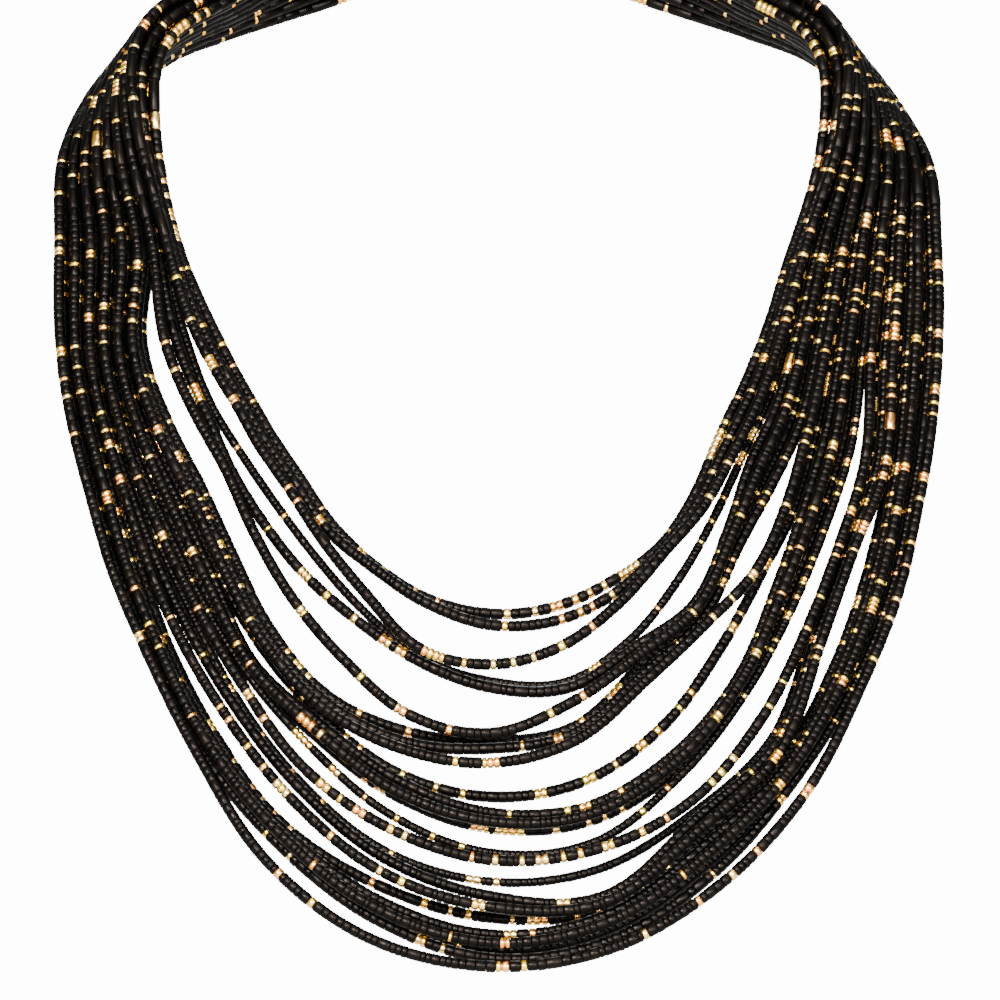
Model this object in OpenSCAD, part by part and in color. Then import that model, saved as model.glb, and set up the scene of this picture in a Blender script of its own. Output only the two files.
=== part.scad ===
/* [Beads] */
// Outer width of the regular beads on a strand
bead_d = 2.2; // [1.8:0.05:2.2]
// Outer width of the beads on the fine strands
fine_bead_d = 1.8; // [1.4:0.05:1.8]

/* [Drape] */
// Height of the nape above the middle of the neck opening
nape_rise = 65; // [63:1:68]
// Drop from the middle of the neck opening to the lowest strand
front_drop = 137; // [130:1:140]
// Distance from the frontmost strand back to the middle of the clasp
nape_reach = 121; // [118:1:125]
// Lean of the chest at its foot, in mm back for each mm up
chest_lean = 0.235; // [0.2:0.005:0.27]
// How fast the chest leans further back going up
chest_curl = 0.00095; // [0.0008:0.00005:0.0011]
// How fast the chest turns away to the sides
chest_turn = 0.002; // [0.001:0.0005:0.003]
// Depth from one layer of strands to the next on the chest
layer_pitch = 2.75; // [2.65:0.05:2.9]
// Spread added at the sides, where the strands lie further from the eye
side_opening = 0.7; // [0:0.1:1.5]

/* [Nape] */
// Spacing of the strands where they are gathered behind the neck
gather_pitch = 2.45; // [2.4:0.05:2.6]
// Length of the clasp across the nape
clasp_l = 14; // [10:1:18]
// Depth of the clasp
clasp_d = 9; // [9:0.5:12]
// Height of the clasp
clasp_h = 21; // [20.5:0.5:24]
// Rounding of the clasp's long edges
clasp_edge_r = 3; // [1:0.5:4]
// Clearance between the clasp and the ends of the strands
seat_gap = 0.25; // [0.2:0.05:0.5]

/* [Hidden] */
strand_count = 24;
layer_count = 3;
row_count = strand_count / layer_count;
tube_sides = 8;
clasp_rounds = 32;
fine_strands = [4, 14, 16];

// Angles round the neck opening, seen from the front: 0 is straight down, a minus sign is the left side.
// One row a strand, innermost first: its radius at each of chart_angle, in mm from the middle of the opening.
chart_angle = [-75, -60, -50, -40, -30, -20, -10, 0, 10, 20, 30, 40, 50, 60];
strand_chart = [
    [54.5, 53.3, 54.2, 56.2, 60.1, 63.9, 67.4, 69.2, 69, 67.1, 64.8, 60.5, 56.3, 54.6],
    [56.3, 54.8, 55.7, 57.5, 61.5, 64.4, 68.3, 71.3, 71.6, 69.4, 65.5, 61.8, 58.1, 56.4],
    [57.8, 56.1, 57.2, 59.2, 63.6, 69.4, 76.9, 78.8, 76.6, 71.5, 66.2, 63.2, 60, 58.3],
    [60, 60.4, 61, 63.1, 66.9, 72.3, 78.5, 82, 83.4, 78.6, 72, 66.2, 62, 60.1],
    [61.8, 62, 64.3, 67.2, 70.9, 74.7, 79.3, 83.2, 84.6, 80.4, 77.6, 70.1, 64.1, 62],
    [63.9, 63.9, 65.2, 69.8, 75.8, 82.4, 89.6, 91.9, 87.5, 82.1, 78.5, 71.2, 66, 63.8],
    [68.3, 69.4, 71.1, 75.9, 83.4, 90.2, 92.9, 93.4, 92.1, 84, 79.4, 72.3, 67.9, 65.6],
    [69.2, 70.6, 72.4, 77.5, 84.8, 91.4, 94.9, 94.8, 93.2, 85.6, 80.8, 73.4, 69.6, 67.5],
    [70.1, 71.8, 73.8, 78.8, 86, 92.6, 96.3, 97.5, 94.6, 87, 82, 78.9, 73.8, 69.4],
    [71, 73, 75.2, 80.3, 87, 94.2, 101, 104, 102.6, 96.3, 87.5, 80.2, 75.6, 71.2],
    [72, 74.2, 76.5, 81.6, 90.3, 95.6, 102.3, 107, 107.4, 102.1, 94.1, 84.4, 77.5, 73.1],
    [72.9, 75.3, 78, 83.1, 91, 97, 104.3, 108.6, 108.9, 103.4, 95, 85.8, 79.3, 75],
    [73.8, 76.5, 79.3, 84.5, 91.8, 98, 105.2, 110, 110.2, 104.8, 96.2, 87.3, 81.1, 76.8],
    [74.8, 77.6, 80.6, 85.8, 92.7, 100.3, 109, 114.6, 114.3, 106.2, 97.2, 89.1, 82.8, 78.6],
    [75.7, 78.7, 82, 87.3, 94.8, 104.4, 111.5, 115.9, 115.7, 111.5, 103, 93.8, 86.7, 82],
    [76.6, 79.8, 83.4, 89, 97.4, 107, 115.9, 120.1, 119.5, 113.7, 107.2, 95.1, 87.7, 83.4],
    [77.6, 80.9, 85, 91, 98.7, 108, 117.2, 122.8, 124.7, 115, 108.6, 96.4, 88.8, 84.7],
    [78.5, 82, 86.6, 93.3, 101.3, 110.8, 119.8, 124.8, 125.8, 117, 110.1, 97.7, 89.8, 86.1],
    [79.4, 83.1, 88.2, 96.2, 105.6, 115.95, 122.6, 126.9, 127, 118.6, 111.5, 102.4, 94, 87.5],
    [80.4, 84.2, 89.6, 97.3, 106.7, 116.8, 125.2, 130.1, 128.3, 120.2, 113, 103.8, 95.5, 88.8],
    [81.3, 85.3, 90.8, 98.1, 107.8, 117.7, 126.8, 131.6, 129.6, 121.9, 114.2, 105.2, 97, 90.2],
    [82.2, 86.4, 91.8, 99.1, 108.9, 118.75, 128, 133.2, 131.2, 123.5, 115.2, 106.6, 98.4, 91.6],
    [83.2, 87.4, 92.9, 99.9, 109.9, 119.5, 128.8, 134.6, 133.2, 125.6, 116.1, 107.9, 99.9, 92.9],
    [84.1, 88.4, 93.9, 100.85, 110.9, 123.7, 132.7, 136.1, 134.6, 128.2, 119.5, 109.2, 101.3, 94.3],
];

// Where the strands lie evenly spread: angle, radius of the innermost, radius of the outermost.
left_fans = [[-120, 72, 80.5], [-105, 66, 81.4], [-90, 58.9, 81.8]];
right_fans = [[75, 54.5, 87.9], [90, 57.1, 85.2], [105, 64.9, 86], [120, 72, 83]];

// Middle of the gathered bundle, on both sides: angle, radius, depth behind the frontmost strand.
bundle_path = [
    [60, 69, 38],
    [75, 70, 48],
    [90, 71.6, 60],
    [105, 76.2, 71.5],
    [120, 77.4, 85],
    [135, 69.6, 98.5],
    [150, 65.9, 111],
    [165, 65.5, 119.6],
    [180, 65, nape_reach]
];

// The strands leave the chest, turn edge on and turn again to lie flat on the nape between these angles.
gather_from = 84;
gather_to = 118;
edge_on_at = 125;
flat_again_at = 172;
fan_pitch = 3.5;
// Share that the layers stand further apart halfway through the turn
turn_room = 0.12;
// Share of a row that the middle layer stands aside in the bundle, so that no gap goes right through
bundle_stagger = 1 / 3;

end_x = clasp_l / 2 + seat_gap;
end_angle = 180 - atan(end_x / nape_rise);
front_ring_step = 8;
front_ring_reach = 120;
back_rings = [131, 142, 152, 163, end_angle];
front_rings = [for (angle = [-front_ring_reach : front_ring_step : front_ring_reach]) angle];
ring_angles = concat(
    [for (i = [len(back_rings) - 1 : -1 : 0]) -back_rings[i]],
    front_rings,
    back_rings
);

// Fan columns and chart columns together give each strand one radius for each of station_angle.
fan_angle = function (fans) [for (fan = fans) fan[0]];
station_angle = concat(fan_angle(left_fans), chart_angle, fan_angle(right_fans));

// Ease from 0 to 1 between two angles.
function ease(from, to, at) =
    let (t = min(1, max(0, (at - from) / (to - from))))
    t * t * (3 - 2 * t);

// Slope of a chart of values at its knot i.
function knot_slope(xs, vs, i) =
    let (a = max(0, i - 1), b = min(len(xs) - 1, i + 1))
    (vs[b] - vs[a]) / (xs[b] - xs[a]);

// Smooth curve through the values vs at the knots xs.
function through(xs, vs, x) =
    let (
        last = len(xs) - 2,
        i = max([for (j = [0 : last]) xs[j] <= x || j == 0 ? j : 0]),
        span = xs[i + 1] - xs[i],
        t = (x - xs[i]) / span,
        rise = (vs[i + 1] - vs[i]),
        m0 = knot_slope(xs, vs, i) * span,
        m1 = knot_slope(xs, vs, i + 1) * span
    )
    vs[i] + t * m0 + t * t * (3 * rise - 2 * m0 - m1) + t * t * t * (m0 + m1 - 2 * rise);

function fan_radius(fan, k) = fan[1] + (fan[2] - fan[1]) * k / (strand_count - 1);

function station_radii(k) = concat(
    [for (fan = left_fans) fan_radius(fan, k)],
    strand_chart[k],
    [for (fan = right_fans) fan_radius(fan, k)]
);

function outward(angle) = [sin(angle), 0, -cos(angle)];

// Depth of the chest behind the frontmost strand, at x and at height z above the middle of the opening.
function chest_depth(x, z) =
    let (h = z + front_drop)
    chest_lean * h + chest_curl * h * h + chest_turn * x * x;

// Layer of a strand, -1 on the skin and 1 on top, and its row in that layer.
function layer(k) = k % layer_count - 1;
function row(k) = floor(k / layer_count) - (row_count - 1) / 2;
function stagger(k) = bundle_stagger * ((layer(k) == 0 ? 1 : 0) - 1 / layer_count);

// A strand's place on the chest.
function chest_point(k, radii, angle) =
    let (
        r = through(station_angle, radii, angle) + side_opening * pow(sin(angle), 2),
        p = r * outward(angle)
    )
    [p.x, chest_depth(p.x, p.z) - layer(k) * layer_pitch, p.z];

// A strand's place in the bundle that turns round the side of the neck to the nape, on the right side.
path_angle = [for (knot = bundle_path) knot[0]];
path_radius = [for (knot = bundle_path) knot[1]];
path_depth = [for (knot = bundle_path) knot[2]];

function path_point(angle) =
    through(path_angle, path_radius, angle) * outward(angle)
    + [0, through(path_angle, path_depth, angle), 0];

function unit(v) = v / norm(v);

function bundle_point(k, angle) =
    let (
        along = unit(path_point(min(180, angle + 1)) - path_point(angle - 1)),
        out = outward(angle),
        across = unit(out - (out * along) * along),
        back = cross(along, across),
        turn = 90 * ease(gather_from, edge_on_at, angle) + 90 * ease(edge_on_at, flat_again_at, angle),
        gathered = ease(gather_from, gather_to, angle),
        row_pitch = fan_pitch + (gather_pitch - fan_pitch) * gathered,
        aside = layer(k) / layer_count * (1 - gathered) + stagger(k) * gathered,
        row_at = (row(k) + aside) * row_pitch,
        layer_at = layer(k) * layer_pitch * (1 + turn_room * sin(180 * gathered))
    )
    path_point(angle)
    + row_at * (cos(turn) * across + sin(turn) * back)
    + layer_at * (sin(turn) * across - cos(turn) * back);

// A strand's place at any angle, with the origin at the clasp's face that rests on the nape.
function strand_point(k, radii, angle) =
    let (
        side = sign(angle),
        reach = abs(angle),
        share = ease(gather_from, gather_to, reach),
        chest = share < 1 ? chest_point(k, radii, angle) : [0, 0, 0],
        held = share > 0 ? bundle_point(k, reach) : [0, 0, 0],
        bundle = [side * held.x, held.y, held.z],
        p = (1 - share) * chest + share * bundle,
        at_end = reach >= end_angle - 0.001
    )
    [at_end ? side * end_x : p.x, p.y - nape_reach + clasp_d / 2, p.z - nape_rise];

// One ring of the tube round a strand's line.
function ring(points, i, d) =
    let (
        last = len(points) - 1,
        ahead = points[min(last, i + 1)],
        behind = points[max(0, i - 1)],
        inner = i > 0 && i < last,
        along = inner ? unit(ahead - behind) : [-1, 0, 0],
        out = outward(ring_angles[i]),
        across = unit(out - (out * along) * along),
        back = cross(along, across)
    )
    [for (s = [0 : tube_sides - 1])
        points[i] + d / 2 * (cos(360 * s / tube_sides) * across + sin(360 * s / tube_sides) * back)];

// A bead strand's closed tube, swept ring by ring along its line.
module strand(k) {
    radii = station_radii(k);
    points = [for (angle = ring_angles) strand_point(k, radii, angle)];
    fine = len([for (f = fine_strands) if (f == k + 1) f]) > 0;
    width = fine ? fine_bead_d : bead_d;
    rings = [for (i = [0 : len(points) - 1]) ring(points, i, width)];
    n = tube_sides;
    last = len(rings) - 1;
    walls = [
        for (i = [0 : last - 1])
        for (s = [0 : n - 1])
        [i * n + s, (i + 1) * n + s, (i + 1) * n + (s + 1) % n, i * n + (s + 1) % n]
    ];
    start_cap = [for (s = [0 : n - 1]) s];
    end_cap = [for (s = [n - 1 : -1 : 0]) last * n + s];
    color("#2e2a29")
    polyhedron(points = [for (r = rings) each r], faces = concat([start_cap], walls, [end_cap]));
}

// The plain clasp that closes every strand behind the neck: a bar with rounded long edges.
module clasp() {
    core_d = clasp_d - 2 * clasp_edge_r;
    core_h = clasp_h - 2 * clasp_edge_r;
    color("#9a7a4a")
    translate([0, clasp_d / 2, 0])
    union() {
        cube([clasp_l, clasp_d, core_h], center = true);
        cube([clasp_l, core_d, clasp_h], center = true);
        for (y = [-core_d / 2, core_d / 2])
            for (z = [-core_h / 2, core_h / 2])
                translate([0, y, z])
                rotate([0, 90, 0])
                cylinder(h = clasp_l, r = clasp_edge_r, center = true, $fn = clasp_rounds);
    }
}

function strand_name(k) = str("strand_", k < 9 ? "0" : "", k + 1);

clasp();
for (k = [0 : strand_count - 1])
    strand(k);
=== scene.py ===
# Multi strand necklace: seed beads strung on 24 strands, with a plain clasp behind the neck.
import math

import bpy
import numpy as np
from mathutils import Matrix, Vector


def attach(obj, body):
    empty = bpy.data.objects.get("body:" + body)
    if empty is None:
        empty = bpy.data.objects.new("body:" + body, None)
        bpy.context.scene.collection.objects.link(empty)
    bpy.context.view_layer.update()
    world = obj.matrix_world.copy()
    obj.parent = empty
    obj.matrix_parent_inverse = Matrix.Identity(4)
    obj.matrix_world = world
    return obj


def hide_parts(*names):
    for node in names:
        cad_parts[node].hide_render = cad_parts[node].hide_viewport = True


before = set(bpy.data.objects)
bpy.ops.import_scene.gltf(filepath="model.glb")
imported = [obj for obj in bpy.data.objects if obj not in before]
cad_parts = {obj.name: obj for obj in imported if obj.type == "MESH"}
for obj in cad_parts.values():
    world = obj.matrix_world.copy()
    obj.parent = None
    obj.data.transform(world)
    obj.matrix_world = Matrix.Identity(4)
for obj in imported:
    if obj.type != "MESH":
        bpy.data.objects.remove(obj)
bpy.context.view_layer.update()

# Sizes in mm, as in the part's source
MM = 0.001
STRANDS = 24
LAYERS = 3
ROWS = STRANDS / LAYERS
FINE_STRANDS = (4, 14, 16)
NAPE_RISE = 65.0
FRONT_DROP = 137.0
NAPE_REACH = 121.0
CHEST_LEAN = 0.235
CHEST_CURL = 0.00095
CHEST_TURN = 0.002
LAYER_PITCH = 2.75
SIDE_OPENING = 0.7
GATHER_PITCH = 2.45
FAN_PITCH = 3.5
CLASP_LENGTH = 14.0
CLASP_DEPTH = 9.0
SEAT_GAP = 0.25
GATHER_FROM = 84
GATHER_TO = 118
TURN_ROOM = 0.12
BUNDLE_STAGGER = 1 / 3
EDGE_ON_AT = 125
FLAT_AGAIN_AT = 172
END_X = CLASP_LENGTH / 2 + SEAT_GAP
END_ANGLE = 180 - math.degrees(math.atan(END_X / NAPE_RISE))

# One row a strand, innermost first: its radius at each angle round the neck opening, 0 being straight down
CHART_ANGLE = [-75, -60, -50, -40, -30, -20, -10, 0, 10, 20, 30, 40, 50, 60]
STRAND_CHART = [
    [54.5, 53.3, 54.2, 56.2, 60.1, 63.9, 67.4, 69.2, 69, 67.1, 64.8, 60.5, 56.3, 54.6],
    [56.3, 54.8, 55.7, 57.5, 61.5, 64.4, 68.3, 71.3, 71.6, 69.4, 65.5, 61.8, 58.1, 56.4],
    [57.8, 56.1, 57.2, 59.2, 63.6, 69.4, 76.9, 78.8, 76.6, 71.5, 66.2, 63.2, 60, 58.3],
    [60, 60.4, 61, 63.1, 66.9, 72.3, 78.5, 82, 83.4, 78.6, 72, 66.2, 62, 60.1],
    [61.8, 62, 64.3, 67.2, 70.9, 74.7, 79.3, 83.2, 84.6, 80.4, 77.6, 70.1, 64.1, 62],
    [63.9, 63.9, 65.2, 69.8, 75.8, 82.4, 89.6, 91.9, 87.5, 82.1, 78.5, 71.2, 66, 63.8],
    [68.3, 69.4, 71.1, 75.9, 83.4, 90.2, 92.9, 93.4, 92.1, 84, 79.4, 72.3, 67.9, 65.6],
    [69.2, 70.6, 72.4, 77.5, 84.8, 91.4, 94.9, 94.8, 93.2, 85.6, 80.8, 73.4, 69.6, 67.5],
    [70.1, 71.8, 73.8, 78.8, 86, 92.6, 96.3, 97.5, 94.6, 87, 82, 78.9, 73.8, 69.4],
    [71, 73, 75.2, 80.3, 87, 94.2, 101, 104, 102.6, 96.3, 87.5, 80.2, 75.6, 71.2],
    [72, 74.2, 76.5, 81.6, 90.3, 95.6, 102.3, 107, 107.4, 102.1, 94.1, 84.4, 77.5, 73.1],
    [72.9, 75.3, 78, 83.1, 91, 97, 104.3, 108.6, 108.9, 103.4, 95, 85.8, 79.3, 75],
    [73.8, 76.5, 79.3, 84.5, 91.8, 98, 105.2, 110, 110.2, 104.8, 96.2, 87.3, 81.1, 76.8],
    [74.8, 77.6, 80.6, 85.8, 92.7, 100.3, 109, 114.6, 114.3, 106.2, 97.2, 89.1, 82.8, 78.6],
    [75.7, 78.7, 82, 87.3, 94.8, 104.4, 111.5, 115.9, 115.7, 111.5, 103, 93.8, 86.7, 82],
    [76.6, 79.8, 83.4, 89, 97.4, 107, 115.9, 120.1, 119.5, 113.7, 107.2, 95.1, 87.7, 83.4],
    [77.6, 80.9, 85, 91, 98.7, 108, 117.2, 122.8, 124.7, 115, 108.6, 96.4, 88.8, 84.7],
    [78.5, 82, 86.6, 93.3, 101.3, 110.8, 119.8, 124.8, 125.8, 117, 110.1, 97.7, 89.8, 86.1],
    [79.4, 83.1, 88.2, 96.2, 105.6, 115.95, 122.6, 126.9, 127, 118.6, 111.5, 102.4, 94, 87.5],
    [80.4, 84.2, 89.6, 97.3, 106.7, 116.8, 125.2, 130.1, 128.3, 120.2, 113, 103.8, 95.5, 88.8],
    [81.3, 85.3, 90.8, 98.1, 107.8, 117.7, 126.8, 131.6, 129.6, 121.9, 114.2, 105.2, 97, 90.2],
    [82.2, 86.4, 91.8, 99.1, 108.9, 118.75, 128, 133.2, 131.2, 123.5, 115.2, 106.6, 98.4, 91.6],
    [83.2, 87.4, 92.9, 99.9, 109.9, 119.5, 128.8, 134.6, 133.2, 125.6, 116.1, 107.9, 99.9, 92.9],
    [84.1, 88.4, 93.9, 100.85, 110.9, 123.7, 132.7, 136.1, 134.6, 128.2, 119.5, 109.2, 101.3, 94.3],
]
LEFT_FANS = [(-120, 72, 80.5), (-105, 66, 81.4), (-90, 58.9, 81.8)]
RIGHT_FANS = [(75, 54.5, 87.9), (90, 57.1, 85.2), (105, 64.9, 86), (120, 72, 83)]
BUNDLE_PATH = [
    (60, 69, 38),
    (75, 70, 48),
    (90, 71.6, 60),
    (105, 76.2, 71.5),
    (120, 77.4, 85),
    (135, 69.6, 98.5),
    (150, 65.9, 111),
    (165, 65.5, 119.6),
    (180, 65, NAPE_REACH),
]

# Gold coloured beads that stand out in the photograph, read off it: strand number, then angles
GOLD_CHART = {
    1: [-126.8, -125.4, -123.6, -122.6, -121.6, -120.2, -118.6, -109.2, -108.4, -103.9, -100.5, -98.5,
        -96.3, -95, -93.8, -92.9, -91.9, -23.6, -22.6, -18.6, -12.4, -8.4, 2.7, 7.2, 10.1, 11.4, 13.7,
        16.3, 18.8, 22, 23, 24, 25, 47, 48.5, 50, 51, 52.5, 54, 99.7, 102.9, 103.7, 107.6, 108.7, 113.4,
        117.7, 119.3, 121.3, 123.3, 126.9],
    2: [2.3, 11, 14, 16, 19.6],
    3: [-9.2, -8.2, -7.3, -6.3, -3.4, 0.5, 3.2, 6.2, 10.1, 15.2],
    5: [-25.4, -20.2, -15.4, -14.4, -12.8, -11.8],
    6: [-27.8, -16.8, -11.4, -10.8, -4.9, 7.4, 11.8],
    7: [-26.7, -25.2, -24.3, -23.2, -15.8, -9.6, 11.1, 15, 15.8, 16.6],
    9: [-3.8, -0.6, 0, 0.8],
    10: [-24.1, -22.6, -16.5, -14.6, -9.5, -5.7, -2.8, 5, 6, 10.2, 11, 13.8, 16.6, 17.6, 19.2,
         22.5, 24.4],
    11: [2, 7.8, 9.4, 10.2, 13.6],
    12: [-22, -21.2, -20.2, -19.2],
    13: [-12.8, -11.7, -11, -1.6, -0.8, 0, 0.8, 1.6, 2.4, 3.2, 6.5, 9.8, 11.5, 13.3],
    14: [-22, -21.4, -20.8, -20, -16.9, -16, -12.8, -9.2, -5.6, -2.7, 15.2, 18.3],
    15: [-25.8, -17.6, -16.8, -15.2, -13.4, -12.6, -9.8, -8.2, -1.6, 0.5, 3, 4.5, 5.3, 6.9, 8.5,
         10.9, 11.8, 14.6, 17.3, 22.6, 24.2, 25.5],
    16: [-25.1, -20.7, -16.9, -9.3, -1.9, -1, 0.6],
    17: [6.1, 6.9],
    18: [-29, -25.9, -23.6, -21.7, -21, -20.3, -15.2, -10, -8, -1.3, -0.6],
    19: [-30.8, -30, -26.6, -24, -22.5, -20.9, -19.1, -10.5, -5.7, -3.4, -1.8, 2, 3.4, 4.1, 4.8,
         7.5, 9.3, 13.5, 16],
    20: [1.4, 2, 3.6],
    22: [-14.5, -13.1, -9.9, -6.9, -6.2, -2.5],
    24: [-18.7, -15.3, 0.7, 1.5, 2.8, 12.8, 17.8, 21.2, 24, 30, 30.6],
}
# Long gold tubes: strand number and angle
GOLD_TUBES = {1: -111.8, 15: -107.6, 5: 67.3, 18: 64.8}
# Stretches where the chart alone places the gold beads: all charted strands in front, and others by strand
CHARTED_FRONT = (-27, 25)
CHARTED = {1: [(-127, -91), (99, 127)]}

# Beads
SEED = 24
BEAD_WIDTH = 2.34
FINE_WIDTH = 1.92
BEAD_SIDES = 10
GOLD_SIDES = 10
# Below 0, because neighbouring beads touch over their whole ends
BEAD_GAP = -0.04
# Share of a bead's width that its hole takes
HOLE = 0.44
THREAD_WIDTH = 0.5
THREAD_SIDES = 4
THREAD_STEP = 4.0
ROUTE_STEP = 0.5


def ease(start, stop, at):
    """Smooth step from 0 to 1 between two angles."""
    t = np.clip((at - start) / (stop - start), 0, 1)
    return t * t * (3 - 2 * t)


def through(xs, vs, x):
    """Smooth curve through the values vs at the knots xs."""
    xs = np.asarray(xs, float)
    vs = np.asarray(vs, float)
    x = np.asarray(x, float)
    slope = np.empty(len(xs))
    slope[1:-1] = (vs[2:] - vs[:-2]) / (xs[2:] - xs[:-2])
    slope[0] = (vs[1] - vs[0]) / (xs[1] - xs[0])
    slope[-1] = (vs[-1] - vs[-2]) / (xs[-1] - xs[-2])
    i = np.clip(np.searchsorted(xs, x, side="right") - 1, 0, len(xs) - 2)
    span = xs[i + 1] - xs[i]
    t = (x - xs[i]) / span
    rise = vs[i + 1] - vs[i]
    m0 = slope[i] * span
    m1 = slope[i + 1] * span
    return vs[i] + t * m0 + t * t * (3 * rise - 2 * m0 - m1) + t * t * t * (m0 + m1 - 2 * rise)


def unit(v):
    """Rows of v at length 1."""
    return v / np.linalg.norm(v, axis=-1, keepdims=True)


def outward(angle):
    """Direction away from the middle of the neck opening."""
    a = np.radians(angle)
    return np.stack([np.sin(a), np.zeros_like(a), -np.cos(a)], axis=-1)


def fan_radii(fans, k):
    """A strand's radii where all strands are spread evenly between two edges."""
    share = k / (STRANDS - 1)
    return [inner + (outer - inner) * share for _, inner, outer in fans]


def chest_points(k, angle):
    """A strand's line on the chest."""
    stations = [row[0] for row in LEFT_FANS] + CHART_ANGLE + [row[0] for row in RIGHT_FANS]
    radii = fan_radii(LEFT_FANS, k) + STRAND_CHART[k] + fan_radii(RIGHT_FANS, k)
    reach = np.clip(angle, stations[0], stations[-1])
    r = through(stations, radii, reach) + SIDE_OPENING * np.sin(np.radians(angle)) ** 2
    p = r[:, None] * outward(angle)
    height = p[:, 2] + FRONT_DROP
    depth = CHEST_LEAN * height + CHEST_CURL * height**2 + CHEST_TURN * p[:, 0] ** 2
    p[:, 1] = depth - (k % LAYERS - 1) * LAYER_PITCH
    return p


def path_points(angle):
    """Middle line of the gathered bundle, on the right side."""
    knots = np.array(BUNDLE_PATH)
    p = through(knots[:, 0], knots[:, 1], angle)[:, None] * outward(angle)
    p[:, 1] = through(knots[:, 0], knots[:, 2], angle)
    return p


def bundle_points(k, angle):
    """A strand's line in the bundle that turns round the side of the neck, on the right side."""
    reach = np.clip(angle, BUNDLE_PATH[0][0] + 1, 180)
    along = unit(path_points(np.minimum(180, reach + 1)) - path_points(reach - 1))
    out = outward(reach)
    across = unit(out - (out * along).sum(axis=1)[:, None] * along)
    back = np.cross(along, across)
    turn = np.pi / 2 * (ease(GATHER_FROM, EDGE_ON_AT, reach) + ease(EDGE_ON_AT, FLAT_AGAIN_AT, reach))
    gathered = ease(GATHER_FROM, GATHER_TO, reach)
    row_pitch = FAN_PITCH + (GATHER_PITCH - FAN_PITCH) * gathered
    layer = k % LAYERS - 1
    row = k // LAYERS - (ROWS - 1) / 2
    stagger = BUNDLE_STAGGER * ((layer == 0) - 1 / LAYERS)
    row_at = (row + layer / LAYERS * (1 - gathered) + stagger * gathered) * row_pitch
    layer_at = layer * LAYER_PITCH * (1 + TURN_ROOM * np.sin(np.pi * gathered))[:, None]
    cos = np.cos(turn)[:, None]
    sin = np.sin(turn)[:, None]
    rowwise = cos * across + sin * back
    layerwise = sin * across - cos * back
    return path_points(reach) + row_at[:, None] * rowwise + layer_at * layerwise


def strand_line(k):
    """Angles and points of a strand's line from one end at the clasp to the other."""
    steps = int(round(2 * END_ANGLE / ROUTE_STEP))
    angle = np.linspace(-END_ANGLE, END_ANGLE, steps + 1)
    share = ease(GATHER_FROM, GATHER_TO, np.abs(angle))[:, None]
    bundle = bundle_points(k, np.abs(angle))
    bundle[:, 0] *= np.sign(angle)
    p = (1 - share) * chest_points(k, angle) + share * bundle
    p[0, 0] = -END_X
    p[-1, 0] = END_X
    p[:, 1] += CLASP_DEPTH / 2 - NAPE_REACH
    p[:, 2] -= NAPE_RISE
    return angle, p


class Line:
    """A strand's line by its length."""

    def __init__(self, k):
        self.angle, self.points = strand_line(k)
        steps = np.linalg.norm(np.diff(self.points, axis=0), axis=1)
        self.at = np.concatenate([[0], np.cumsum(steps)])
        self.length = self.at[-1]

    def place(self, s):
        """Points, directions and angles at the lengths s."""
        here = np.stack([np.interp(s, self.at, self.points[:, i]) for i in range(3)], axis=1)
        step = BEAD_WIDTH / 4
        ahead = np.stack([np.interp(s + step, self.at, self.points[:, i]) for i in range(3)], axis=1)
        behind = np.stack([np.interp(s - step, self.at, self.points[:, i]) for i in range(3)], axis=1)
        return here, unit(ahead - behind), np.interp(s, self.at, self.angle)


# Sorts of black bead: share of the beads, shortest and longest. Towards the nape they are smoother and longer
BEAD_SORTS = [(0.32, 0.95, 1.3), (0.46, 1.3, 1.7), (0.18, 1.7, 2.3), (0.04, 2.3, 3.2)]
SMOOTH_SORTS = [(0.14, 1.1, 1.5), (0.24, 1.5, 2.0), (0.30, 2.0, 3.0), (0.32, 3.0, 6.5)]
HIDDEN_SORTS = [(0.35, 2.0, 3.0), (0.65, 3.0, 6.5)]
SMOOTH_BEYOND = 96
HIDDEN_BEYOND = 128
GOLD_LENGTH = (1.2, 1.7)
GOLD_SWELL = 0.95
GOLD_TUBE_LENGTH = 3.8
# How likely a bead is gold where chance decides: angle and chance
GOLD_CHANCE = [
    (-172, 0.08), (-135, 0.16), (-122, 0.5), (-105, 0.22), (-95, 0.13), (-80, 0.12), (-65, 0.1),
    (-50, 0.11), (-38, 0.11), (-27, 0.05), (0, 0.02), (25, 0.1), (38, 0.14), (52, 0.16),
    (68, 0.16), (82, 0.28), (95, 0.27), (110, 0.4), (122, 0.38), (135, 0.16), (172, 0.08),
]
GOLD_ANGLES, GOLD_CHANCES = zip(*GOLD_CHANCE)
# The same right after a gold bead
RUN_ON = 0.22
# Length of the gold beads that chance places, against the charted ones
CHANCE_LENGTH = 0.75
CLOSEST_GOLD = 0.95
LEAST_BLACK = 0.8
FINE_LENGTH = 0.8
LAST_BEADS = 8
SEAT_FILL = 0.2


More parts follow.
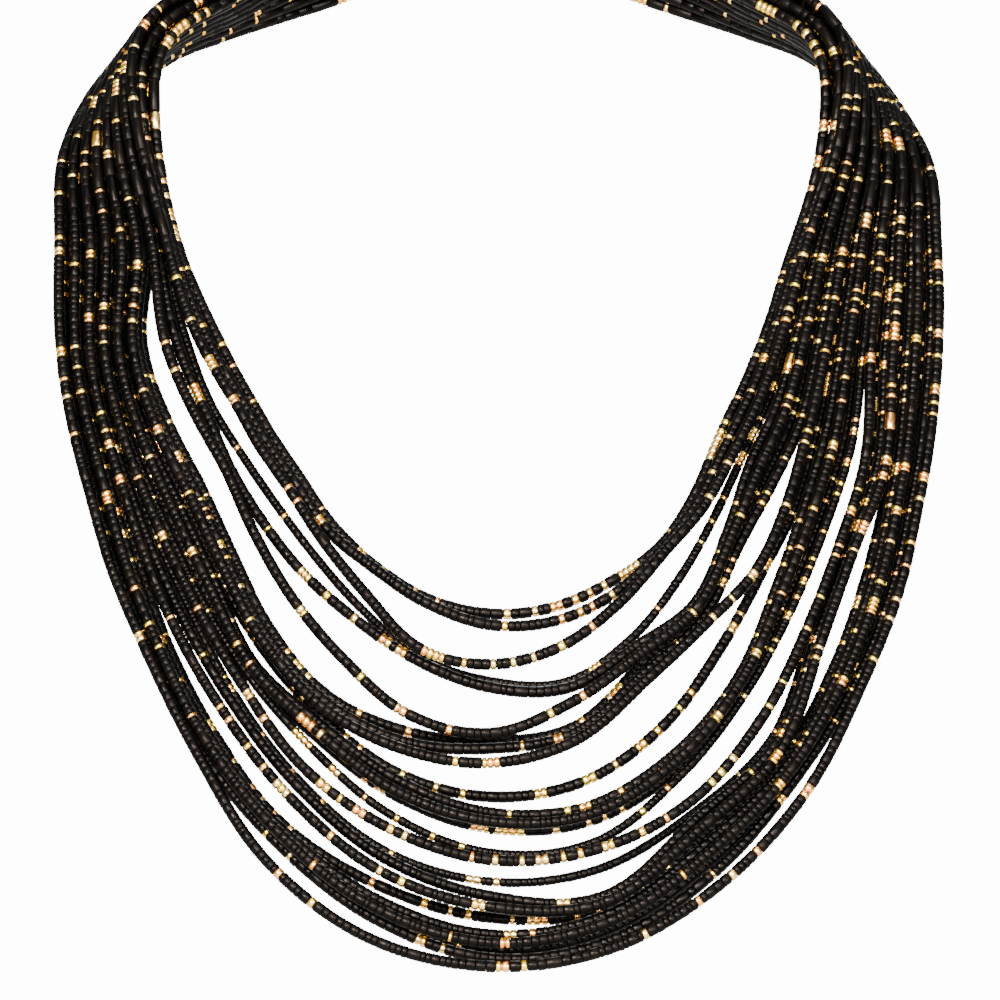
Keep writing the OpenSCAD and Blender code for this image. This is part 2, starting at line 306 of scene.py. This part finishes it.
def string_beads(k, line, rng):
    """Beads along a strand: where each is, how long, and whether it is gold."""
    charted = [np.interp(angle, line.angle, line.at) for angle in sorted(GOLD_CHART.get(k + 1, []))]
    tube_at = GOLD_TUBES.get(k + 1)
    spans = CHARTED.get(k + 1, []) + ([CHARTED_FRONT] if charted else [])
    end = line.length + SEAT_FILL
    places = []
    s = -SEAT_FILL
    was_gold = False
    while True:
        angle = np.interp(s, line.at, line.angle)
        sorts = BEAD_SORTS
        if abs(angle) > SMOOTH_BEYOND:
            sorts = SMOOTH_SORTS
        if abs(angle) > HIDDEN_BEYOND:
            sorts = HIDDEN_SORTS
        _, shortest, longest = sorts[rng.choice(len(sorts), p=[row[0] for row in sorts])]
        length = rng.uniform(shortest, longest)
        if k + 1 in FINE_STRANDS:
            length *= FINE_LENGTH
        gold_length = rng.uniform(*GOLD_LENGTH)
        chance = np.interp(angle, GOLD_ANGLES, GOLD_CHANCES)
        if was_gold:
            chance = RUN_ON
        if any(start < angle < stop for start, stop in spans):
            chance = 0
        gold = rng.random() < chance
        if gold:
            length = gold_length * CHANCE_LENGTH
        while charted and charted[0] < s:
            charted.pop(0)
        if charted:
            if len(charted) > 1:
                gold_length = min(gold_length, max(CLOSEST_GOLD, charted[1] - charted[0] - BEAD_GAP))
            room = charted[0] - gold_length / 2 - s
            if room < LEAST_BLACK:
                gold = True
                length = gold_length
                charted.pop(0)
            elif room < length + LEAST_BLACK:
                gold = False
                length = room
        if tube_at is not None and angle >= tube_at:
            gold = True
            length = GOLD_TUBE_LENGTH
            tube_at = None
        if s + length > end:
            break
        places.append((s + length / 2, length, gold))
        s += length + BEAD_GAP
        was_gold = gold
    at, lengths, gold = (np.array(column) for column in zip(*places))
    # The beads before the clasp are a little longer, to fill the strand to its end
    longer = (end - s + BEAD_GAP) / LAST_BEADS
    at[-LAST_BEADS:] += longer * (np.arange(LAST_BEADS) + 0.5)
    lengths[-LAST_BEADS:] += longer
    return at, lengths, gold


# Share of a short bead's half that the rounding of its end may take
ROUNDED_SHARE = 0.62
# A direction that no strand runs in
ASIDE = (0.31, 0.87, 0.38)


def bead_mesh(name, centres, axes, lengths, widths, sides, profile, jitter, rng):
    """One joined mesh of drilled beads, and how many points, and faces, each bead has."""
    n = len(centres)
    half = lengths / 2
    r = widths / 2
    bands = [(-half, r * HOLE)]
    for side, from_end, share in profile:
        inwards = np.minimum(from_end, half * ROUNDED_SHARE)
        bands.append(((half - inwards) * side, r * share))
    bands.append((half, r * HOLE))
    rings = len(bands)
    first = unit(np.cross(axes, ASIDE))
    second = np.cross(axes, first)
    turn = rng.uniform(0, 2 * math.pi, n)[:, None] + np.arange(sides) * 2 * math.pi / sides
    turn = turn + rng.uniform(-jitter, jitter, (n, sides)) * 2
    verts = np.empty((n, rings, sides, 3))
    for j, (z, radius) in enumerate(bands):
        wobble = 1 + rng.uniform(-jitter, 0, (n, sides))
        out = (radius[:, None] * wobble)[:, :, None]
        ring = np.cos(turn)[:, :, None] * first[:, None, :] + np.sin(turn)[:, :, None] * second[:, None, :]
        verts[:, j] = centres[:, None, :] + z[:, None, None] * axes[:, None, :] + out * ring
    jj, ss = np.meshgrid(np.arange(rings), np.arange(sides), indexing="ij")
    here = jj * sides
    after = (jj + 1) % rings * sides
    beside = (ss + 1) % sides
    corners = np.stack([here + ss, here + beside, after + beside, after + ss], axis=-1)
    each = rings * sides
    quads = corners.reshape(-1, 4)[None] + (np.arange(n) * each)[:, None, None]
    return make_mesh(name, verts.reshape(-1, 3), quads.reshape(-1, 4)), each


def make_mesh(name, verts, quads):
    """A smooth mesh object from arrays in mm."""
    mesh = bpy.data.meshes.new(name)
    mesh.vertices.add(len(verts))
    mesh.vertices.foreach_set("co", (verts * MM).astype(np.float32).ravel())
    mesh.loops.add(quads.size)
    mesh.loops.foreach_set("vertex_index", quads.astype(np.int32).ravel())
    mesh.polygons.add(len(quads))
    mesh.polygons.foreach_set("loop_start", np.arange(len(quads), dtype=np.int32) * 4)
    mesh.polygons.foreach_set("use_smooth", np.full(len(quads), True))
    mesh.update(calc_edges=True)
    mesh.validate()
    piece = bpy.data.objects.new(name, mesh)
    bpy.context.scene.collection.objects.link(piece)
    return piece


def tag(piece, name, values, each):
    """A value for each bead, on all of its points."""
    data = piece.data.attributes.new(name, "FLOAT", "POINT")
    data.data.foreach_set("value", np.repeat(values, each).astype(np.float32))


# Materials
# Where a new stop is put in a ramp before it gets its own place
MIDWAY = 0.5


def principled(name):
    """A new material with its nodes, links and shader."""
    material = bpy.data.materials.new(name)
    material.use_nodes = True
    tree = material.node_tree
    return material, tree.nodes, tree.links, tree.nodes["Principled BSDF"]


def attribute(nodes, name):
    """A value stored on the points of a mesh."""
    node = nodes.new("ShaderNodeAttribute")
    node.attribute_name = name
    return node


def ramp(nodes, stops):
    """Colours that follow a value, at the stops given."""
    node = nodes.new("ShaderNodeValToRGB")
    elements = node.color_ramp.elements
    while len(elements) < len(stops):
        elements.new(MIDWAY)
    for element, (at, colour) in zip(elements, stops):
        element.position = at
        element.color = (*colour, 1)
    return node


def spread(nodes, low, high):
    """A value from 0 to 1 spread between two others."""
    node = nodes.new("ShaderNodeMapRange")
    node.inputs["To Min"].default_value = low
    node.inputs["To Max"].default_value = high
    return node


def grain(nodes, links, scale, detail, stretch=(1, 1, 1)):
    """Noise fixed to the object."""
    coords = nodes.new("ShaderNodeTexCoord")
    mapping = nodes.new("ShaderNodeMapping")
    mapping.inputs["Scale"].default_value = stretch
    links.new(coords.outputs["Object"], mapping.inputs["Vector"])
    noise = nodes.new("ShaderNodeTexNoise")
    noise.inputs["Scale"].default_value = scale
    noise.inputs["Detail"].default_value = detail
    links.new(mapping.outputs["Vector"], noise.inputs["Vector"])
    return noise


def emboss(nodes, links, shader, noise, strength, depth):
    """Fine relief from noise."""
    relief = nodes.new("ShaderNodeBump")
    relief.inputs["Strength"].default_value = strength
    relief.inputs["Distance"].default_value = depth
    links.new(noise.outputs["Fac"], relief.inputs["Height"])
    links.new(relief.outputs["Normal"], shader.inputs["Normal"])


def paint(nodes, links, shader, value, stops):
    """The shader's colour by a value."""
    colours = ramp(nodes, stops)
    links.new(value.outputs["Fac"], colours.inputs["Fac"])
    links.new(colours.outputs["Color"], shader.inputs["Base Color"])


def roughen(nodes, links, shader, value, limits):
    """The shader's roughness by a value."""
    rough = spread(nodes, *limits)
    links.new(value.outputs["Fac"], rough.inputs["Value"])
    links.new(rough.outputs["Result"], shader.inputs["Roughness"])


# Values of each material: colours along its grain, roughness limits, and grain as scale and detail
FINE_DETAIL = 3
RELIEF_DEPTH = 0.0001
BLACK_STOPS = [
    (0.0, (0.0001, 0.0001, 0.0001)),
    (0.5, (0.0003, 0.00025, 0.0002)),
    (0.8, (0.0008, 0.0006, 0.0005)),
    (0.89, (0.0007, 0.0004, 0.0006)),
    (0.95, (0.0003, 0.0006, 0.0004)),
    (1.0, (0.0017, 0.0009, 0.0005)),
]
BLACK_TINT = (1.0, 0.85, 0.77, 1)
BLACK_SHINE = 0.069
BLACK_ROUGHNESS = (0.3, 0.46)
BLACK_GRAIN = 1500
BLACK_RELIEF = 0.8
GOLD_COLOURS = {
    "champagne": (1.0, 0.69, 0.22),
    "olive_gold": (0.95, 0.69, 0.11),
    "rose_copper": (1.0, 0.47, 0.13),
    "orange_gold": (1.0, 0.57, 0.1),
}
# How often each gold occurs, in the same order
GOLD_ODDS = [0.28, 0.19, 0.22, 0.31]
GOLD_EDGE = (0.3, 0.1, 0.03, 1)
GOLD_ROUGHNESS = (0.18, 0.34)
GOLD_GRAIN = 1500
GOLD_RELIEF = 0.12
WORN_SHADE = 0.82
WORN_UP_TO = 0.35
PLATED_FROM = 0.6
THREAD_STOPS = [(0.3, (0.008, 0.007, 0.007)), (0.7, (0.018, 0.016, 0.016))]
THREAD_SHINE = 0.2
THREAD_ROUGHNESS = 0.7
THREAD_GRAIN = 3000
THREAD_RELIEF = 0.3
BRASS_STOPS = [(0.3, (0.50, 0.33, 0.15)), (0.7, (0.80, 0.59, 0.31))]
BRASS_ROUGHNESS = (0.26, 0.42)
BRASS_GRAIN = 2600
BRASS_DETAIL = 4
# The brushed lines run along X
BRASS_STRETCH = (0.04, 1, 1)
BRASS_RELIEF = 0.25
BRASS_DEPTH = 0.00005


def black_glass():
    """Matte black glass, a little different from bead to bead."""
    material, nodes, links, shader = principled("black_glass")
    paint(nodes, links, shader, attribute(nodes, "tone"), BLACK_STOPS)
    roughen(nodes, links, shader, attribute(nodes, "polish"), BLACK_ROUGHNESS)
    shader.inputs["Specular IOR Level"].default_value = BLACK_SHINE
    shader.inputs["Specular Tint"].default_value = BLACK_TINT
    noise = grain(nodes, links, BLACK_GRAIN, FINE_DETAIL)
    emboss(nodes, links, shader, noise, BLACK_RELIEF, RELIEF_DEPTH)
    return material


def gold_metal(name, colour):
    """Plated metal with cut facets, duller where it has rubbed."""
    material, nodes, links, shader = principled(name)
    shader.inputs["Metallic"].default_value = 1.0
    shader.inputs["Specular Tint"].default_value = GOLD_EDGE
    noise = grain(nodes, links, GOLD_GRAIN, FINE_DETAIL)
    emboss(nodes, links, shader, noise, GOLD_RELIEF, RELIEF_DEPTH)
    worn = tuple(channel * WORN_SHADE for channel in colour)
    paint(nodes, links, shader, noise, [(WORN_UP_TO, worn), (PLATED_FROM, colour)])
    roughen(nodes, links, shader, noise, GOLD_ROUGHNESS)
    return material


def thread_fibre():
    """Black nylon beading thread."""
    material, nodes, links, shader = principled("thread")
    noise = grain(nodes, links, THREAD_GRAIN, FINE_DETAIL)
    emboss(nodes, links, shader, noise, THREAD_RELIEF, RELIEF_DEPTH)
    paint(nodes, links, shader, noise, THREAD_STOPS)
    shader.inputs["Roughness"].default_value = THREAD_ROUGHNESS
    shader.inputs["Specular IOR Level"].default_value = THREAD_SHINE
    return material


def clasp_brass():
    """Brass for the clasp, brushed along its length."""
    material, nodes, links, shader = principled("clasp_brass")
    shader.inputs["Metallic"].default_value = 1.0
    noise = grain(nodes, links, BRASS_GRAIN, BRASS_DETAIL, BRASS_STRETCH)
    emboss(nodes, links, shader, noise, BRASS_RELIEF, BRASS_DEPTH)
    paint(nodes, links, shader, noise, BRASS_STOPS)
    roughen(nodes, links, shader, noise, BRASS_ROUGHNESS)
    return material


BLACK = black_glass()
GOLDS = [gold_metal(name, colour) for name, colour in GOLD_COLOURS.items()]
THREAD = thread_fibre()


# Strands
# Rings of a bead's outside: end it belongs to, distance in from that end, share of the radius
BLACK_PROFILE = [(-1, 0, 0.88), (-1, 0.2, 1.0), (1, 0.2, 1.0), (1, 0, 0.88)]
GOLD_PROFILE = [
    (-1, 0, 0.55), (-1, 0.12, 0.8), (-1, 0.36, 0.98),
    (1, 0.36, 0.98), (1, 0.12, 0.8), (1, 0, 0.55),
]
# How uneven the beads are: their facets, how far they lean and stray, and their widths
BLACK_JITTER = 0.018
GOLD_JITTER = 0.012
TILT = 0.02
STRAY = 0.01
WIDTH_SPREAD = 0.07


def dress_strand(k):
    """The beads and the thread of one strand, in place of its tube."""
    rng = np.random.default_rng(SEED + k)
    line = Line(k)
    name = f"strand_{k + 1:02d}"
    at, lengths, gold = string_beads(k, line, rng)
    centres, axes, _ = line.place(at)
    n = len(at)
    axes = unit(axes + rng.normal(0, TILT / 2, (n, 3)).clip(-TILT, TILT))
    centres = centres + rng.uniform(-STRAY, STRAY, (n, 3))
    full = FINE_WIDTH if k + 1 in FINE_STRANDS else BEAD_WIDTH
    widths = full - 2 * STRAY - rng.uniform(0, WIDTH_SPREAD, n)
    black = ~gold
    beads, each = bead_mesh(
        f"{name}_beads", centres[black], axes[black], lengths[black], widths[black],
        BEAD_SIDES, BLACK_PROFILE, BLACK_JITTER, rng,
    )
    beads.data.materials.append(BLACK)
    tag(beads, "tone", rng.random(black.sum()), each)
    tag(beads, "polish", rng.random(black.sum()), each)
    golds, each = bead_mesh(
        f"{name}_gold", centres[gold], axes[gold], lengths[gold], widths[gold] * GOLD_SWELL,
        GOLD_SIDES, GOLD_PROFILE, GOLD_JITTER, rng,
    )
    for material in GOLDS:
        golds.data.materials.append(material)
    kinds = rng.choice(len(GOLDS), gold.sum(), p=GOLD_ODDS)
    golds.data.polygons.foreach_set("material_index", np.repeat(kinds, each).astype(np.int32))
    thread = thread_tube(f"{name}_thread", line)
    thread.data.materials.append(THREAD)
    for piece in (beads, golds, thread):
        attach(piece, "root")
    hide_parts(name)


def thread_tube(name, line):
    """The thread that runs through a strand's beads."""
    steps = int(line.length / THREAD_STEP)
    at = np.linspace(0, line.length, steps + 1)
    here, along, angle = line.place(at)
    out = outward(angle)
    across = unit(out - (out * along).sum(axis=1)[:, None] * along)
    back = np.cross(along, across)
    turn = np.arange(THREAD_SIDES) * 2 * math.pi / THREAD_SIDES
    ring = np.cos(turn)[None, :, None] * across[:, None, :] + np.sin(turn)[None, :, None] * back[:, None, :]
    verts = here[:, None, :] + THREAD_WIDTH / 2 * ring
    jj, ss = np.meshgrid(np.arange(steps), np.arange(THREAD_SIDES), indexing="ij")
    beside = (ss + 1) % THREAD_SIDES
    near = jj * THREAD_SIDES
    far = near + THREAD_SIDES
    quads = np.stack([near + ss, far + ss, far + beside, near + beside], axis=-1)
    # Its two ends are closed by a face of the same four sides
    last = steps * THREAD_SIDES
    caps = np.array([[0, 1, 2, 3], [last + 3, last + 2, last + 1, last]])
    return make_mesh(name, verts.reshape(-1, 3), np.concatenate([quads.reshape(-1, 4), caps]))


for strand in range(STRANDS):
    dress_strand(strand)

# Clasp
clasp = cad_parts["clasp"]
brass = clasp_brass()
for place in clasp.material_slots:
    place.link = "OBJECT"
    place.material = brass

# Camera, level and from the front: the photograph's frame is 190 mm wide at the frontmost strand
CAMERA_DISTANCE = 6.0
FRAME_WIDTH = 0.19
SENSOR_WIDTH = 36
FRONT_Y = (CLASP_DEPTH / 2 - NAPE_REACH) * MM
AIM = Vector((0.0019, FRONT_Y, -0.1125))
NEAREST_SEEN = 0.1
FURTHEST_SEEN = 100
camera_data = bpy.data.cameras.new("camera")
camera_data.sensor_width = SENSOR_WIDTH
camera_data.lens = SENSOR_WIDTH * CAMERA_DISTANCE / FRAME_WIDTH
camera_data.clip_start = NEAREST_SEEN
camera_data.clip_end = FURTHEST_SEEN
camera = bpy.data.objects.new("camera", camera_data)
bpy.context.scene.collection.objects.link(camera)
camera.location = AIM - Vector((0, CAMERA_DISTANCE, 0))
camera.rotation_euler = (math.radians(90), 0, 0)
bpy.context.scene.camera = camera

# Pale floor below the necklace
FLOOR_Z = -0.30
FLOOR_REACH = 1.6
FLOOR_SHADE = (0.62, 0.62, 0.62, 1)
FLOOR_ROUGHNESS = 0.8
corners = [(x * FLOOR_REACH, y * FLOOR_REACH, FLOOR_Z) for x, y in ((-1, -1), (1, -1), (1, 1), (-1, 1))]
floor_mesh = bpy.data.meshes.new("floor")
floor_mesh.from_pydata(corners, [], [(0, 1, 2, 3)])
floor = bpy.data.objects.new("floor", floor_mesh)
bpy.context.scene.collection.objects.link(floor)
pale, _, _, pale_shader = principled("pale_floor")
pale_shader.inputs["Base Color"].default_value = FLOOR_SHADE
pale_shader.inputs["Roughness"].default_value = FLOOR_ROUGHNESS
floor_mesh.materials.append(pale)

# Soft studio light: name, place, side of the square in metres, watts and colour
LIT_AT = Vector((0, -0.06, -0.1))
LIGHTS = [
    ("key", (-0.5, -1.85, 0.7), 0.6, 235, (1, 0.96, 0.9)),
    ("fill", (0.8, -1.85, 0.4), 0.7, 90, (1, 1, 1)),
    ("top", (0.1, -0.5, 1.4), 0.8, 12, (1, 1, 1)),
    ("back", (0.1, 1.6, 1.0), 1.0, 20, (1, 1, 1)),
]
for name, place, side, power, colour in LIGHTS:
    light_data = bpy.data.lights.new(name, "AREA")
    light_data.shape = "SQUARE"
    light_data.size = side
    light_data.energy = power
    light_data.color = colour
    light = bpy.data.objects.new(name, light_data)
    bpy.context.scene.collection.objects.link(light)
    light.location = place
    light.rotation_euler = (LIT_AT - Vector(place)).to_track_quat("-Z", "Y").to_euler()

# The surround lights the necklace softly, and is seen as plain white
SURROUND_COLOUR = (0.9, 0.9, 0.92, 1)
SURROUND_STRENGTH = 0.5
SEEN_COLOUR = (1, 1, 1, 1)
SEEN_STRENGTH = 14.0
world = bpy.data.worlds.new("studio")
world.use_nodes = True
bpy.context.scene.world = world
world_nodes = world.node_tree.nodes
world_links = world.node_tree.links
surround = world_nodes["Background"]
surround.inputs["Color"].default_value = SURROUND_COLOUR
surround.inputs["Strength"].default_value = SURROUND_STRENGTH
seen = world_nodes.new("ShaderNodeBackground")
seen.inputs["Color"].default_value = SEEN_COLOUR
seen.inputs["Strength"].default_value = SEEN_STRENGTH
ray = world_nodes.new("ShaderNodeLightPath")
either = world_nodes.new("ShaderNodeMixShader")
world_links.new(ray.outputs["Is Camera Ray"], either.inputs["Fac"])
world_links.new(surround.outputs["Background"], either.inputs[1])
world_links.new(seen.outputs["Background"], either.inputs[2])
world_links.new(either.outputs["Shader"], world_nodes["World Output"].inputs["Surface"])
